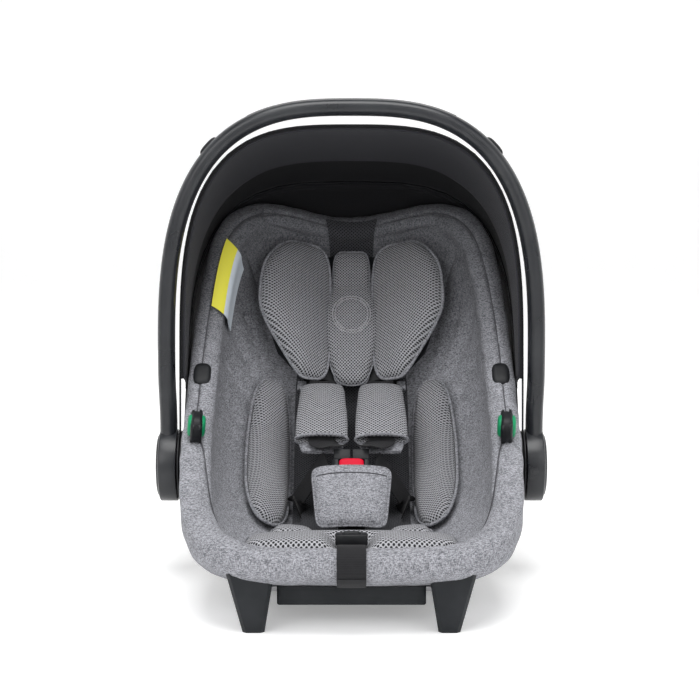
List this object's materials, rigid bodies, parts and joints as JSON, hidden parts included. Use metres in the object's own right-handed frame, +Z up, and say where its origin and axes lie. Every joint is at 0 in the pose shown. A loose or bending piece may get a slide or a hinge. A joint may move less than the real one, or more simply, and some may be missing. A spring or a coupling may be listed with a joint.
{
  "type": "infant car seat",
  "caption": "Rear-facing infant carrier seat: padded shell on feet and skids, swinging carry handle, folding hood, sliding headrest, harness and buckle.",
  "frame": {"origin": "on the ground at the centre of the bounding box's bottom", "axes": "+Z up, +Y towards the head end, +X to the right seen from the foot end"},
  "size_m": [0.449, 0.6332, 0.5479],
  "materials": {
    "black_plastic": "fine moulded grain",
    "handle_plastic": "satin moulded grain",
    "foam": "expanded foam",
    "grey_melange": "grey melange weave",
    "grey_mesh": "open spacer mesh",
    "dark_mesh": "dark spacer mesh",
    "webbing": "woven webbing",
    "hood_fabric": "black and charcoal cloth",
    "red_button": "gloss",
    "green_guide": "satin",
    "steel": "plain",
    "label_cloth": "plain sewn tag"
  },
  "bodies": {
    "seat": {"adjuster_housing": "black_plastic", "adjuster_strap": "webbing", "back_pad": "dark_mesh", "base_bar_front": "steel", "base_bar_rear": "steel", "belt_guide_left": "black_plastic", "belt_guide_liner_left": "green_guide", "belt_guide_liner_right": "green_guide", "belt_guide_right": "black_plastic", "buckle_housing": "black_plastic", "buckle_tongue_left": "black_plastic", "buckle_tongue_right": "black_plastic", "cross_beam": "black_plastic", "crotch_pad": "grey_melange", "crotch_strap": "webbing", "foam_liner": "foam", "foot_left": "black_plastic", "foot_right": "black_plastic", "headrest_rail": "black_plastic", "hood_rear_panel": "hood_fabric", "label_tag": "label_cloth", "lap_strap_left": "webbing", "lap_strap_right": "webbing", "pivot_boss_left": "black_plastic", "pivot_boss_right": "black_plastic", "rear_belt_guide": "black_plastic", "seat_cover": "grey_melange", "seat_cushion": "grey_mesh", "shell": "black_plastic", "shoulder_pad_left": "grey_mesh", "shoulder_pad_right": "grey_mesh", "shoulder_strap_left": "webbing", "shoulder_strap_right": "webbing", "side_bolster_left": "grey_mesh", "side_bolster_right": "grey_mesh", "skid_left": "black_plastic", "skid_right": "black_plastic", "yoke_plate": "steel"},
    "handle": {"handle": "handle_plastic", "hub_cap_left": "handle_plastic", "hub_cap_right": "handle_plastic"},
    "handle_button_left": {"handle_button_left": "black_plastic"},
    "handle_button_right": {"handle_button_right": "black_plastic"},
    "lock_gear_left": {"lock_gear_left": "black_plastic"},
    "lock_gear_right": {"lock_gear_right": "black_plastic"},
    "headrest": {"headrest_frame": "black_plastic", "headrest_centre": "grey_mesh", "headrest_wing_left": "grey_mesh", "headrest_wing_right": "grey_mesh"},
    "buckle_button": {"buckle_button": "red_button"},
    "adjuster_button": {"adjuster_button": "black_plastic"},
    "release_button_left": {"release_button_left": "black_plastic"},
    "release_button_right": {"release_button_right": "black_plastic"},
    "hood_mid": {"hood_mid_bow": "black_plastic", "hood_mid_panel": "hood_fabric"},
    "hood_front": {"hood_front_bow": "black_plastic", "hood_front_panel": "hood_fabric"}
  },
  "joints": [
    {"name": "handle_swing", "type": "hinge", "parent": "seat", "child": "handle", "pos_m": [0, -0.02492, 0.127], "axis": [1, 0, 0], "range_deg": [-100, 95]},
    {"name": "handle_button_left_press", "type": "slide", "parent": "handle", "child": "handle_button_left", "axis": [0.7369, 0, -0.676], "range_m": [0, 0.003], "stiffness_N_per_m": 600},
    {"name": "handle_button_right_press", "type": "slide", "parent": "handle", "child": "handle_button_right", "axis": [-0.7369, 0, -0.676], "range_m": [0, 0.003], "stiffness_N_per_m": 600},
    {"name": "lock_gear_left_slide", "type": "slide", "parent": "handle", "child": "lock_gear_left", "axis": [-1, 0, 0], "range_m": [0, 0.0048]},
    {"name": "lock_gear_right_slide", "type": "slide", "parent": "handle", "child": "lock_gear_right", "axis": [1, 0, 0], "range_m": [0, 0.0048]},
    {"name": "headrest_slide", "type": "slide", "parent": "seat", "child": "headrest", "axis": [0, 0.6157, 0.788], "range_m": [0, 0.008]},
    {"name": "hood_fold", "type": "hinge", "parent": "seat", "child": "hood_mid", "pos_m": [0, -0.02492, 0.127], "axis": [1, 0, 0], "range_deg": [-20, 10]},
    {"name": "hood_front_fold", "type": "hinge", "parent": "hood_mid", "child": "hood_front", "pos_m": [0, -0.02492, 0.127], "axis": [1, 0, 0], "range_deg": [-20, 10]},
    {"name": "buckle_button_press", "type": "slide", "parent": "seat", "child": "buckle_button", "axis": [0, 0.7704, -0.6376], "range_m": [0, 0.003], "stiffness_N_per_m": 600},
    {"name": "adjuster_button_press", "type": "slide", "parent": "seat", "child": "adjuster_button", "axis": [0, -0.0872, -0.9962], "range_m": [0, 0.003], "stiffness_N_per_m": 600},
    {"name": "release_button_left_press", "type": "slide", "parent": "seat", "child": "release_button_left", "axis": [-0.037, 0.6919, -0.721], "range_m": [0, 0.003], "stiffness_N_per_m": 600},
    {"name": "release_button_right_press", "type": "slide", "parent": "seat", "child": "release_button_right", "axis": [0.037, 0.6919, -0.721], "range_m": [0, 0.003], "stiffness_N_per_m": 600}
  ],
  "couplings": [
    {"joint": "lock_gear_left_slide", "follows": "handle_button_left_press", "ratio": 1.6},
    {"joint": "lock_gear_right_slide", "follows": "handle_button_right_press", "ratio": 1.6},
    {"joint": "hood_front_fold", "follows": "hood_fold", "ratio": 1}
  ]
}
